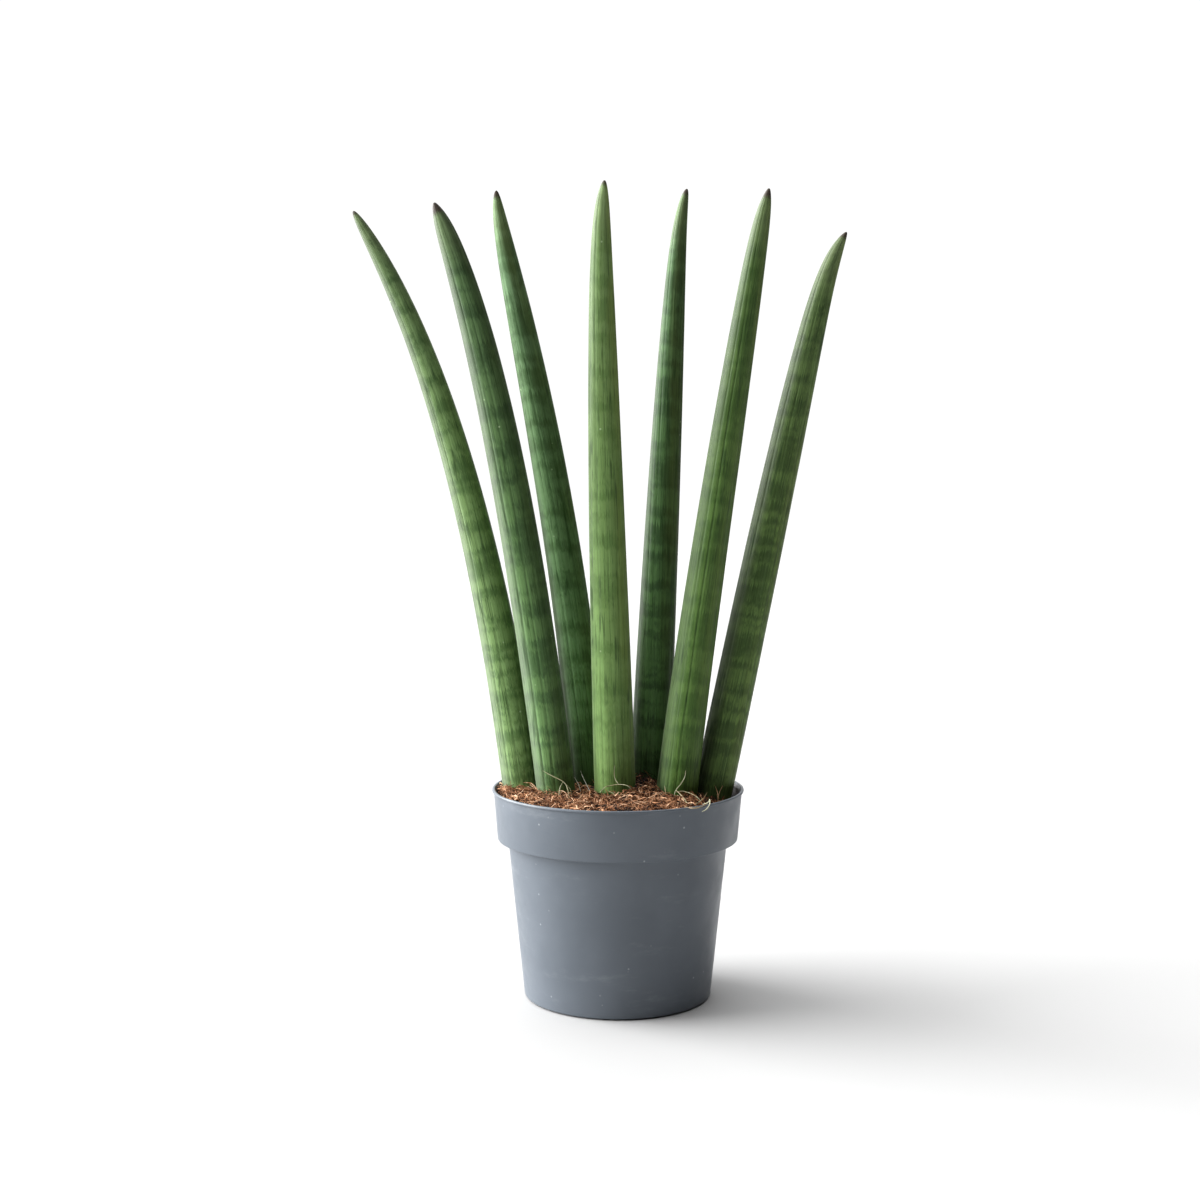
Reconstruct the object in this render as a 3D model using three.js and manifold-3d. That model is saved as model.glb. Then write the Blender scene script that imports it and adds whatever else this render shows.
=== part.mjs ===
// A cylindrical snake plant: seven round, grooved leaves in coir, in a moulded nursery pot.
// Millimetres, +Z up. The origin is the centre of the pot's underside, and the pot stands on z = 0.

import * as THREE from 'three';
import { mergeVertices } from 'three/addons/utils/BufferGeometryUtils.js';
import Module from 'manifold-3d';

const wasm = await Module();
wasm.setup();

// ---- Driving dimensions ----

// Pot: a thin moulded shell with a wide collar under a proud lip.
const POT_HEIGHT = 100;
const POT_SIDES = 48;
const WALL = 1.2;
const LIP_RADIUS = 60;
const LIP_HEIGHT = 1.2;
const LIP_EDGE = 0.4;
const COLLAR_TOP_RADIUS = 59.2;
const COLLAR_BOTTOM_RADIUS = 57.2;
const COLLAR_BOTTOM_Z = 76;
const BODY_TOP_RADIUS = 52.2;
const STEP_ROUNDING = 0.6;
const EDGE_RADIUS = 44.6;
const EDGE_ROUNDING = 0.9;
const EDGE_LIFT = 0.6;
const FOOT_RADIUS = 41.5;
const FOOT_WIDTH = 5;
const FLOOR_FILLET = 1.8;
const BASE_RAISE = 1;
const BASE_DISC_RADIUS = 17;
const DRAIN_COUNT = 8;
const DRAIN_RADIUS = 4;
const DRAIN_CIRCLE_RADIUS = 27;
const DRAIN_SIDES = 16;

// Soil: it fills the pot nearly to the rim, heaps up in two mounds between the leaves, and sinks at the right
// and a little along the wall.
const CLEARANCE = 0.3;
const SOIL_LEVEL = 97.2;
const SOIL_SIDES = 44;
const SOIL_RINGS = 9;
const SOIL_ROUGHNESS = 1.1;
const HEAPS = [
  { x: 10.5, y: -5.5, height: 4.2, spread: 6.5 },
  { x: 12.5, y: 8.5, height: 6, spread: 5 },
];
const LEFT_RISE = { from: 14, to: 52, height: 1.6 };
const RIGHT_SINK = { from: 31, to: 52, depth: 5.5 };
const WALL_SINK = { from: 52.5, to: 57.5, depth: 1.3 };

// Coir on the soil: pressed crumbs, fibres that lie on it, and a few strays that stand off it.
const COIR_SEED = 20260;
const COIR_FIELD_RADIUS = 51;
const CLUMP_COUNT = 30;
const FIBRE_COUNT = 52;
const FIBRE_RADIUS = 0.65;
const FIBRE_STEPS = 3;
const FIBRE_SINK = 1.2;
const STRAY_COUNT = 9;

// Leaves: each spine is one bow from the foot [x, y], past a bend point [x, z], to the tip [x, y, z],
// and hook is how far the tip then leans to the right. radius is that of the foot. A high swell stays
// thick for longer, a high point is sharper, and spike is the share that the very tip is thinned by. turn is
// where its grooves lie round it, and twist how far they wind on the way up, both in degrees.
const LEAVES = [
  {
    foot: [-45.6, 6], bend: [-71.4, 290.2], tip: [-125.8, 16, 373], hook: 0.4,
    radius: 9.5, swell: 1.15, point: 0.394, spike: 0.14, turn: 12, twist: 0,
  },
  {
    foot: [-29.3, -4], bend: [-52.2, 296], tip: [-83.5, -20, 372], hook: -0.3,
    radius: 9.2, swell: 2.64, point: 0.338, spike: 0.5, turn: -12, twist: 0,
  },
  {
    foot: [-14.1, 18], bend: [-20.7, 214.2], tip: [-61.1, 40, 386.1], hook: 2.1,
    radius: 9.3, swell: 2.24, point: 0.462, spike: 0, turn: 2, twist: -40,
  },
  {
    foot: [-1.2, -4], bend: [-8, 298.9], tip: [-8.3, -16, 382.6], hook: 1.9,
    radius: 9.95, swell: 1.23, point: 0.351, spike: 0.38, turn: 14, twist: 0,
  },
  {
    foot: [15.6, 18], bend: [26.6, 337.2], tip: [31.2, 38, 386.6], hook: 2.5,
    radius: 9.85, swell: 1.22, point: 0.42, spike: 0, turn: -15, twist: -45,
  },
  {
    foot: [28.1, -4], bend: [35.3, 174.4], tip: [66.6, -24, 377.8], hook: 1.3,
    radius: 9.9, swell: 1.01, point: 0.322, spike: 0.5, turn: 10, twist: 0,
  },
  {
    foot: [46.1, 5], bend: [90.3, 316.9], tip: [103.8, 18, 363.5], hook: 4.9,
    radius: 9.4, swell: 2.07, point: 0.384, spike: 0.38, turn: 4, twist: 0,
  },
];
const HOOK_REACH = 14;
const SPIKE_REACH = 5;
const LEAF_FOOT_Z = 99;
const LEAF_SIDES = 24;
const LEAF_RINGS = 16;
const TIP_CROWDING = 1.9;
const LEAF_GROOVES = 12;
const GROOVE_SHARE = 0.045;
const BEND_DEPTH_SHARE = 0.42;
const ROOT_DEPTH = 19;
const SOCKET_SIDES = 16;
const SOCKET_RISE = 30;

// ---- Finishes ----

const finish = (color, roughness) => new THREE.MeshStandardMaterial({ color, roughness, metalness: 0 });
const potPlastic = finish(0x5d666f, 0.5);
const coir = finish(0x8a5230, 0.95);
const leafSkin = finish(0x4f7a45, 0.45);

// ---- Solids ----

/** A seeded random number from 0 to 1, the same at each run. */
function seededRandom(seed) {
  let state = seed;
  return () => {
    state = (state * 1664525 + 1013904223) % 4294967296;
    return state / 4294967296;
  };
}

/** The closed manifold solid of a geometry whose seams and poles hold doubled vertices. */
function solidOf(geometry) {
  const plain = geometry.clone();
  plain.deleteAttribute('normal');
  plain.deleteAttribute('uv');
  const merged = mergeVertices(plain, 1e-4);
  const corners = [];
  for (let i = 0; i < merged.index.count; i += 3) {
    const triangle = [merged.index.getX(i), merged.index.getX(i + 1), merged.index.getX(i + 2)];
    if (new Set(triangle).size === 3) corners.push(...triangle);
  }
  const vertProperties = new Float32Array(merged.attributes.position.array);
  const triVerts = new Uint32Array(corners);
  return new wasm.Manifold(new wasm.Mesh({ numProp: 3, vertProperties, triVerts }));
}

/** The geometry of a manifold solid. */
function geometryOf(solid) {
  const mesh = solid.getMesh();
  const geometry = new THREE.BufferGeometry();
  geometry.setAttribute('position', new THREE.BufferAttribute(mesh.vertProperties, 3));
  geometry.setIndex(new THREE.BufferAttribute(mesh.triVerts, 1));
  geometry.computeVertexNormals();
  return geometry;
}

/** A solid of revolution about +Z, from a closed outline of [radius, z] points. */
function turned(outline, sides) {
  const points = outline.map(([radius, z]) => new THREE.Vector2(radius, z));
  return new THREE.LatheGeometry(points, sides).rotateX(Math.PI / 2);
}

/** The largest body of a solid, so that no loose scrap stays. */
function largestBody(solid) {
  const bodies = solid.decompose();
  return bodies.reduce((best, body) => (body.volume() > best.volume() ? body : best));
}

// ---- Leaves ----

/** The spine of a leaf above its foot, as a curve of even steps. */
function spineOf(leaf) {
  const [footX, footY] = leaf.foot;
  const [bendX, bendZ] = leaf.bend;
  const tip = new THREE.Vector3(...leaf.tip);
  const bendY = footY + (tip.y - footY) * BEND_DEPTH_SHARE;
  const foot = new THREE.Vector3(footX, footY, LEAF_FOOT_Z);
  return new THREE.QuadraticBezierCurve3(foot, new THREE.Vector3(bendX, bendY, bendZ), tip);
}

/** The leaf's radius at a share of its length, counted back from the tip. */
function leafRadius(leaf, length, share) {
  const thinned = leaf.spike * Math.exp((-share * length) / SPIKE_REACH);
  return leaf.radius * (1 - (1 - share) ** leaf.swell) ** leaf.point * (1 - thinned);
}

/** The point on a leaf's line at a distance from its foot, with its crosswise axes. It is straight below. */
function stationOn(leaf, spine, distance) {
  const length = spine.getLength();
  const share = THREE.MathUtils.clamp(distance / length, 0, 1);
  const along = spine.getTangentAt(share);
  const centre = spine.getPointAt(share).addScaledVector(along, Math.min(distance, 0));
  centre.x += leaf.hook * Math.exp((distance - length) / HOOK_REACH);
  const across = new THREE.Vector3(1, 0, 0).addScaledVector(along, -along.x).normalize();
  const back = new THREE.Vector3().crossVectors(along, across);
  return { centre, across, back };
}

/** Bends a turned geometry, whose z is the distance from the foot, along a leaf. */
function bentAlong(geometry, leaf) {
  const spine = spineOf(leaf);
  const position = geometry.attributes.position;
  const stations = new Map();
  for (let i = 0; i < position.count; i += 1) {
    const distance = position.getZ(i);
    const key = distance.toFixed(4);
    if (!stations.has(key)) stations.set(key, stationOn(leaf, spine, distance));
    const { centre, across, back } = stations.get(key);
    const point = centre.clone().addScaledVector(across, position.getX(i));
    point.addScaledVector(back, position.getY(i));
    position.setXYZ(i, point.x, point.y, point.z);
  }
  geometry.computeVertexNormals();
  return geometry;
}

/** Presses shallow grooves into a turned leaf, as deep as its radius allows, and winds them round it. */
function grooved(geometry, leaf, length) {
  const position = geometry.attributes.position;
  for (let i = 0; i < position.count; i += 1) {
    const radius = Math.hypot(position.getX(i), position.getY(i));
    const angle = Math.atan2(position.getY(i), position.getX(i));
    const press = GROOVE_SHARE * (0.5 - 0.5 * Math.cos(LEAF_GROOVES * angle));
    const wound = angle + THREE.MathUtils.degToRad(leaf.turn + (leaf.twist * position.getZ(i)) / length);
    position.setX(i, radius * (1 - press) * Math.cos(wound));
    position.setY(i, radius * (1 - press) * Math.sin(wound));
  }
  return geometry;
}

/** The outline of a leaf from its buried end to its tip, as [radius, distance from the foot] points. */
function leafOutline(leaf, length) {
  const root = [[0, -1], [0.5, -0.93], [0.84, -0.72], [0.96, -0.4]];
  const outline = root.map(([wide, deep]) => [wide * leaf.radius, deep * ROOT_DEPTH]);
  for (let ring = 0; ring < LEAF_RINGS; ring += 1) {
    const share = (1 - ring / LEAF_RINGS) ** TIP_CROWDING;
    outline.push([leafRadius(leaf, length, share), length * (1 - share)]);
  }
  outline.push([0, length]);
  return outline;
}

/** A whole leaf, as one grooved, tapering rod. */
function leafGeometry(leaf) {
  const length = spineOf(leaf).getLength();
  const straight = turned(leafOutline(leaf, length), LEAF_SIDES);
  return bentAlong(grooved(straight, leaf, length), leaf);
}

/** The plain round hole that a leaf stands in, and the free air round the leaf just above the soil. */
function socketSolid(leaf) {
  const reach = leaf.radius / Math.cos(Math.PI / SOCKET_SIDES) + CLEARANCE;
  const bottom = -ROOT_DEPTH - CLEARANCE;
  const outline = [
    [0, bottom],
    [reach * 0.75, bottom],
    [reach, bottom * 0.65],
    [reach, 0],
    [reach, SOCKET_RISE],
    [0, SOCKET_RISE],
  ];
  return solidOf(bentAlong(turned(outline, SOCKET_SIDES), leaf));
}

// ---- Pot ----

/** The inside of the pot's wall, from the floor up, as [radius, z] points held a gap off the wall. */
function potInside(gap) {
  const inset = WALL + gap;
  const floor = BASE_RAISE + inset;
  const step = COLLAR_BOTTOM_Z + inset;
  const corner = EDGE_RADIUS - inset;
  const lipInside = LIP_RADIUS - LIP_EDGE - WALL - gap;
  return [
    [BASE_DISC_RADIUS, floor],
    [FOOT_RADIUS - FOOT_WIDTH - inset, floor],
    [corner - FLOOR_FILLET, floor],
    [corner, floor + FLOOR_FILLET],
    [BODY_TOP_RADIUS - inset, step - STEP_ROUNDING],
    [BODY_TOP_RADIUS - inset + STEP_ROUNDING, step],
    [COLLAR_BOTTOM_RADIUS - inset - STEP_ROUNDING, step],
    [COLLAR_BOTTOM_RADIUS - inset, step + STEP_ROUNDING],
    [COLLAR_TOP_RADIUS - inset, POT_HEIGHT - LIP_HEIGHT - LIP_EDGE],
    [lipInside, POT_HEIGHT - LIP_EDGE],
  ];
}

/** The pot's outer outline, from the middle of the underside up to the lip. */
function potOutside() {
  const rounding = [0, 45, 90].map((degrees) => {
    const angle = THREE.MathUtils.degToRad(degrees);
    const radius = EDGE_RADIUS - EDGE_ROUNDING * (1 - Math.sin(angle));
    return [radius, EDGE_LIFT + EDGE_ROUNDING * (1 - Math.cos(angle))];
  });
  const lipBottom = POT_HEIGHT - LIP_HEIGHT;
  return [
    [0, 0],
    [BASE_DISC_RADIUS, 0],
    [BASE_DISC_RADIUS + BASE_RAISE, BASE_RAISE],
    [FOOT_RADIUS - FOOT_WIDTH - BASE_RAISE, BASE_RAISE],
    [FOOT_RADIUS - FOOT_WIDTH, 0],
    [FOOT_RADIUS, 0],
    [FOOT_RADIUS + EDGE_LIFT, EDGE_LIFT],
    ...rounding,
    [BODY_TOP_RADIUS, COLLAR_BOTTOM_Z - STEP_ROUNDING],
    [BODY_TOP_RADIUS + STEP_ROUNDING, COLLAR_BOTTOM_Z],
    [COLLAR_BOTTOM_RADIUS - STEP_ROUNDING, COLLAR_BOTTOM_Z],
    [COLLAR_BOTTOM_RADIUS, COLLAR_BOTTOM_Z + STEP_ROUNDING],
    [COLLAR_TOP_RADIUS, lipBottom],
    [LIP_RADIUS - LIP_EDGE, lipBottom],
    [LIP_RADIUS, lipBottom + LIP_EDGE],
    [LIP_RADIUS, POT_HEIGHT - LIP_EDGE],
    [LIP_RADIUS - LIP_EDGE, POT_HEIGHT],
    [LIP_RADIUS - 2 * LIP_EDGE, POT_HEIGHT],
  ];
}

/** The moulded pot: one shell, with a ring of round drain holes in the raised part of its floor. */
function potGeometry() {
  const middle = [BASE_DISC_RADIUS - BASE_RAISE, WALL];
  const outline = [...potOutside(), ...potInside(0).reverse(), middle, [0, WALL]];
  let solid = solidOf(turned(outline, POT_SIDES));
  for (let i = 0; i < DRAIN_COUNT; i += 1) {
    const angle = (i + 0.5) * (2 * Math.PI / DRAIN_COUNT);
    const hole = new THREE.CylinderGeometry(DRAIN_RADIUS, DRAIN_RADIUS, 4 * WALL, DRAIN_SIDES);
    hole.rotateX(Math.PI / 2);
    hole.translate(DRAIN_CIRCLE_RADIUS * Math.cos(angle), DRAIN_CIRCLE_RADIUS * Math.sin(angle), BASE_RAISE);
    solid = solid.subtract(solidOf(hole));
  }
  return geometryOf(solid);
}

// ---- Soil ----

/** The height of the soil's top over a point. */
function soilHeight(x, y) {
  const heapHeight = (heap) => {
    const away = ((x - heap.x) ** 2 + (y - heap.y) ** 2) / heap.spread ** 2;
    return heap.height * Math.exp(-away / 2);
  };
  const heaped = HEAPS.reduce((sum, heap) => sum + heapHeight(heap), 0);
  const rise = LEFT_RISE.height * THREE.MathUtils.smoothstep(-x, LEFT_RISE.from, LEFT_RISE.to);
  const right = RIGHT_SINK.depth * THREE.MathUtils.smoothstep(x, RIGHT_SINK.from, RIGHT_SINK.to);
  const wall = WALL_SINK.depth * THREE.MathUtils.smoothstep(Math.hypot(x, y), WALL_SINK.from, WALL_SINK.to);
  const ripple = 0.45 * Math.sin(x * 0.41 + 1.3) * Math.sin(y * 0.37) + 0.35 * Math.sin(x * 0.83 + y * 0.71);
  return SOIL_LEVEL + heaped + rise - right - wall + ripple;
}

/** The body of the soil: the inside of the pot, with a rough top. */
function soilBody(random) {
  const side = potInside(CLEARANCE).slice(0, -1);
  const rim = side.at(-1)[0];
  const outline = [[0, side[0][1]], ...side];
  for (let ring = 0; ring < SOIL_RINGS; ring += 1) {
    outline.push([rim * (1 - ring / SOIL_RINGS), SOIL_LEVEL]);
  }
  outline.push([0, SOIL_LEVEL]);
  const geometry = turned(outline, SOIL_SIDES);
  const merged = mergeVertices(geometry.deleteAttribute('normal').deleteAttribute('uv'), 1e-4);
  const position = merged.attributes.position;
  for (let i = 0; i < position.count; i += 1) {
    if (position.getZ(i) < SOIL_LEVEL - 0.01) continue;
    const x = position.getX(i);
    const y = position.getY(i);
    position.setZ(i, soilHeight(x, y) + SOIL_ROUGHNESS * (random() - 0.5));
  }
  return solidOf(merged);
}

/** One of the points of a sunflower spiral, which fills the soil's top evenly. */
function spiralPoint(i, count) {
  const turn = i * Math.PI * (3 - Math.sqrt(5));
  const distance = COIR_FIELD_RADIUS * Math.sqrt((i + 0.5) / count);
  return [distance * Math.cos(turn), distance * Math.sin(turn)];
}

/** A crumb of pressed coir, half sunk in the soil. */
function clump(i, random) {
  const [x, y] = spiralPoint(i, CLUMP_COUNT);
  const geometry = new THREE.IcosahedronGeometry(1, 0);
  geometry.scale(2.4 + 2.4 * random(), 1.9 + 1.7 * random(), 1.4 + 1.1 * random());
  geometry.rotateZ(random() * Math.PI);
  geometry.rotateX((random() - 0.5) * 0.8);
  geometry.translate(x, y, soilHeight(x, y));
  return solidOf(geometry);
}

/** A strand of coir: three-sided, arched over the soil from one sunk end to the other. */
function strand(x, y, heading, length, rise, sway, endLift) {
  const points = [0, 0.33, 0.7, 1].map((share) => {
    const swing = sway * Math.sin(Math.PI * share);
    const px = x + Math.cos(heading) * length * (share - 0.5) - Math.sin(heading) * swing;
    const py = y + Math.sin(heading) * length * (share - 0.5) + Math.cos(heading) * swing;
    const arch = rise * Math.sin(Math.PI * share) + endLift * share * share;
    return new THREE.Vector3(px, py, soilHeight(px, py) - FIBRE_SINK + arch);
  });
  const corners = [0, 1, 2].map((corner) => {
    const angle = (corner * 2 * Math.PI) / 3;
    return new THREE.Vector2(FIBRE_RADIUS * Math.cos(angle), FIBRE_RADIUS * Math.sin(angle));
  });
  const path = new THREE.CatmullRomCurve3(points);
  const settings = { steps: FIBRE_STEPS, bevelEnabled: false, extrudePath: path };
  return solidOf(new THREE.ExtrudeGeometry(new THREE.Shape(corners), settings));
}

/** A short fibre that lies on the soil. */
function lyingFibre(i, random) {
  const [x, y] = spiralPoint(i, FIBRE_COUNT);
  const heading = random() * Math.PI * 2;
  return strand(x, y, heading, 7 + 8 * random(), 1.6 + 1.6 * random(), 3 * (random() - 0.5), 0);
}

/** A longer stray fibre that stands off the soil at one end. */
function strayFibre(i, random) {
  const [x, y] = spiralPoint(i, STRAY_COUNT);
  const heading = random() * Math.PI * 2;
  return strand(x, y, heading, 12 + 5 * random(), 2.2, 5 * (random() - 0.5), 5 + 3 * random());
}

/** The soil: its body with crumbs and fibres grown in, cut to the pot, with a plain hole for each leaf. */
function soilGeometry() {
  const random = seededRandom(COIR_SEED);
  const pieces = [soilBody(random)];
  for (let i = 0; i < CLUMP_COUNT; i += 1) pieces.push(clump(i, random));
  for (let i = 0; i < FIBRE_COUNT; i += 1) pieces.push(lyingFibre(i, random));
  for (let i = 0; i < STRAY_COUNT; i += 1) pieces.push(strayFibre(i, random));
  const inside = potInside(CLEARANCE);
  const rim = inside.at(-1)[0];
  const top = POT_HEIGHT + SOCKET_RISE;
  const room = [[0, inside[0][1]], ...inside, [rim, top], [0, top]];
  const sockets = LEAVES.map(socketSolid);
  const whole = wasm.Manifold.union(pieces).intersect(solidOf(turned(room, SOIL_SIDES)));
  return geometryOf(largestBody(whole.subtract(wasm.Manifold.union(sockets))));
}

// ---- The plant in its pot ----

const group = new THREE.Group();

function place(name, geometry, material) {
  const mesh = new THREE.Mesh(geometry, material);
  mesh.name = name;
  group.add(mesh);
}

place('pot', potGeometry(), potPlastic);
place('soil', soilGeometry(), coir);
LEAVES.forEach((leaf, i) => place(`leaf_${i + 1}`, leafGeometry(leaf), leafSkin));

export default group;
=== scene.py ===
"""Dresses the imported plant: a satin pot, coir with loose fibres, seven grooved leaves and a soft studio."""

import math
import random
from collections import namedtuple
from functools import partial

import bpy
import numpy as np
from mathutils import Matrix, Vector, noise


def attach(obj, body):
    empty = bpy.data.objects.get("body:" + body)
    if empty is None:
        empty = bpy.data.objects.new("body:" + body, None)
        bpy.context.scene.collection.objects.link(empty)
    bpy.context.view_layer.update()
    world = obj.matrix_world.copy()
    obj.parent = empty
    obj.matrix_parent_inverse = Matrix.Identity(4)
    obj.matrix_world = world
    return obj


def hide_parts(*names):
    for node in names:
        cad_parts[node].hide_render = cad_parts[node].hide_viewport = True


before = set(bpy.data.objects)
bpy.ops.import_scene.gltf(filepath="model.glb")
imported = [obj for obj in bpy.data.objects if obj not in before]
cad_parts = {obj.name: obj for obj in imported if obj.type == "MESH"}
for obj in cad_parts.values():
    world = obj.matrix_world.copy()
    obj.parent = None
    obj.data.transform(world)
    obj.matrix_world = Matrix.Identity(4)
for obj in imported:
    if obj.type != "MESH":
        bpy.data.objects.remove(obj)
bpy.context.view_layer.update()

bl_info = {
    "name": "Cylindrical Snake Plant",
    "version": (1, 0, 0),
    "blender": (4, 5, 0),
    "location": "3D View > Sidebar > Plant",
    "description": "A cylindrical snake plant in its nursery pot, with coir soil and a soft studio",
    "category": "Add Mesh",
}

MM = 0.001
ROOT_BODY = "root"


def linear(hex_colour):
    """An sRGB hex colour as linear red, green, blue and alpha."""
    parts = [int(hex_colour[i:i + 2], 16) / 255 for i in (0, 2, 4)]
    return tuple(c / 12.92 if c <= 0.04045 else ((c + 0.055) / 1.055) ** 2.4 for c in parts) + (1.0,)


# ---- Shapes, in millimetres ----

# The pot's closed outline, from the middle of its underside, up outside and down inside:
# radius, height and how round the corner is.
POT_OUTLINE = (
    (17, 0, 0.3), (18, 1, 0.3), (35.5, 1, 0.3), (36.5, 0, 0.3), (41.5, 0, 0.25), (42.1, 0.6, 0.25),
    (44.55, 0.6, 0.9), (52.25, 76, 0.5), (57.15, 76, 0.45), (59.2, 98.8, 0.12), (60, 98.8, 0.35),
    (60, 100, 0.55), (58.9, 100, 0.4), (58, 98.2, 0.5), (56.05, 77.2, 0.6), (51.0, 77.2, 0.6),
    (43.45, 2.2, 1.8), (17, 2.2, 0.3), (16, 1.2, 0.3),
)
RIM_RADIUS = 60.0
RIM_HEIGHT = 100.0
POT_FLOOR_RISE = 1.0
DRAIN_RING = 27.0
# The lip's waves, each as how many go round, its share and its start, the height they begin at, and how far
# inwards they lie, so that none passes the rim's circle.
LIP_WAVES = ((3, 1.0, 0.6), (7, 0.6, 2.1), (13, 0.4, 0.0))
LIP_WAVES_FROM = 92.0
LIP_WAVES_INWARD = 1.6

# The soil's side, 0.3 mm inside the pot's wall, from the floor up.
SOIL_SIDE = (
    (35, 2.5), (41.3, 2.5), (43.1, 4.3), (50.7, 76.9), (51.3, 77.5), (55.1, 77.5), (55.7, 78.1), (57.5, 96.5),
)
SOIL_LEVEL = 97.2
WALL_INSIDE = 57.8
# The soil's two mounds, each as x, y, spread and height.
HEAPS = ((10.5, -5.5, 6.5, 4.2), (12.5, 8.5, 5.0, 6.0))
# Its slopes, each as from where to where and how far: up to the left, down to the right and down to the wall.
LEFT_RISE = (14, 52, 1.6)
RIGHT_SINK = (31, 52, 5.5)
WALL_SINK = (52.5, 57.5, 1.3)
# Painted shade on the coir: round spots, each as x, y, spread and depth, and the whole right side.
PAINTED_SHADE_SPOTS = ((12.5, 10.0, 8.5, 0.62), (4.0, -50.0, 6.0, 0.35), (11.0, -9.0, 5.0, 0.12))
RIGHT_PAINTED_SHADE = (18, 42, 0.16)
# Loose coir: how far out it lies and how far it stays from the leaves and the wall, how steeply it stands, in
# radians, how pale the lowest is, how much paler the highest is, and how far any one strays from that.
SCATTER_REACH = 56.6
LOOSE_ROOM = 0.25
TILT_SPREAD = 0.42
LOWEST_TONE = 0.24
TONE_GAIN = 0.44
TONE_SPREAD = 0.25
BED_TONE = 0.1

# Each leaf bows from its foot [x, y], past a bend point [x, z], to its tip [x, y, z], and hook is how far
# the tip then leans to the right. radius is that of the foot. A high swell stays thick for longer, a high
# point is sharper, and spike is the share that the very tip is thinned by. turn is where its grooves lie
# round it, and twist how far they wind on the way up, both in degrees.
Leaf = namedtuple("Leaf", "foot bend tip hook radius swell point spike turn twist")
LEAVES = (
    Leaf((-45.6, 6), (-71.4, 290.2), (-125.8, 16, 373), 0.4, 9.5, 1.15, 0.394, 0.14, 12, 0),
    Leaf((-29.3, -4), (-52.2, 296), (-83.5, -20, 372), -0.3, 9.2, 2.64, 0.338, 0.5, -12, 0),
    Leaf((-14.1, 18), (-20.7, 214.2), (-61.1, 40, 386.1), 2.1, 9.3, 2.24, 0.462, 0, 2, -40),
    Leaf((-1.2, -4), (-8, 298.9), (-8.3, -16, 382.6), 1.9, 9.95, 1.23, 0.351, 0.38, 14, 0),
    Leaf((15.6, 18), (26.6, 337.2), (31.2, 38, 386.6), 2.5, 9.85, 1.22, 0.42, 0, -15, -45),
    Leaf((28.1, -4), (35.3, 174.4), (66.6, -24, 377.8), 1.3, 9.9, 1.01, 0.322, 0.5, 10, 0),
    Leaf((46.1, 5), (90.3, 316.9), (103.8, 18, 363.5), 4.9, 9.4, 2.07, 0.384, 0.38, 4, 0),
)
# How far down from the tip the hook and the spike reach, and where the bow starts and bends.
HOOK_REACH = 14.0
SPIKE_REACH = 5.0
FOOT_HEIGHT = 99.0
BEND_DEPTH_SHARE = 0.42
# How deep a leaf stands in the soil, the room round it there, and its rounded root end, as shares of its
# radius and of that depth.
ROOT_DEPTH = 19.0
SOCKET_ROOM = 0.3
ROOT_END = ((0.3, -1.0), (0.62, -0.9), (0.84, -0.72), (0.96, -0.4))
# How far the rings gather towards the tip, and the share of a leaf that its very point is cut off at.
RING_GATHER = 1.9
POINT_CUT = 0.0002
# Uneven grooves: how far one strays from its even place, as a share of the step between two, how shallow one
# may be, how far all wander round the leaf, in radians, and how long such a wander and a change of depth are.
GROOVE_STRAY = 0.16
GROOVE_SHALLOWEST = 0.35
GROOVE_WANDER = 0.035
WANDER_LENGTH = 38
DEPTH_LENGTH = 27
# The ribs between them: how far the bands step up or down from one to the next, how far a rib's middle stands
# over its edges and the edges lie under the round, how lumpy the leaf is, as a share, and how long a lump is.
RIB_SHIFT = 0.8
RIB_CROWN = 0.09
RIB_SINK = 0.06
LUMP_SHARE = 0.008
LUMP_LENGTH = 22

# How each leaf is marked: the colours and the spacing of its dark and light bands, how strong they and the
# fibres are, how olive its shaded right side is painted, and then its painted light and shade: how much
# lighter its lower half, its upper end, its left side (at foot and tip), its right side and its base are
# than the rest, and how much painted grey sheen its left flank has; then how long its hard tip is, how
# glossy it is, and the seed of its pattern and its grooves.
Look = namedtuple(
    "Look", "dark light band contrast streaks olive foot upper left right base bloom tip gloss seed"
)
LEAF_LOOKS = (
    Look("3C582E", "79975D", 5.0, 0.55, 0.12, 0.15, 1.25, 0.88, (0.88, 0.84), 0.68, 1.0, 0.42, 2.5, 0.18, 11),
    Look("2B4425", "5E7E4B", 6.5, 0.5, 0.13, 0.1, 1.5, 1.06, (0.9, 0.75), 0.45, 0.9, 0.4, 5.0, 0.18, 23),
    Look("39522F", "66865B", 5.5, 0.52, 0.14, 0.2, 1.4, 1.28, (0.04, 0.65), 0.56, 0.3, 0.0, 4.0, 0.06, 37),
    Look("44612E", "708E52", 7.0, 0.44, 0.13, 0.5, 1.15, 1.3, (2.0, 0.68), 0.84, 1.0, 0.15, 2.2, 0.18, 41),
    Look("2A4225", "507043", 6.0, 0.62, 0.2, 0.2, 1.25, 1.26, (1.12, 0.76), 0.54, 0.8, 0.38, 3.5, 0.15, 53),
    Look("304C1D", "4D6932", 7.0, 0.6, 0.14, 0.3, 1.25, 1.02, (1.12, 0.82), 0.94, 1.0, 0.22, 4.5, 0.18, 67),
    Look("314523", "59723E", 5.0, 0.62, 0.2, 0.3, 1.1, 1.1, (0.36, 0.7), 1.17, 0.9, 0.2, 3.5, 0.15, 79),
)

# The soft panels that light the room: the turn from the front to the right and the height over the floor, in
# degrees, the strength, and how gathered the glow is.
PANELS = (
    (180, 42, 1.78, 5), (225, 42, 1.08, 5), (270, 42, 3.11, 5), (0, 90, 1.61, 5), (180, 6, 0.37, 6),
)

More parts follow.
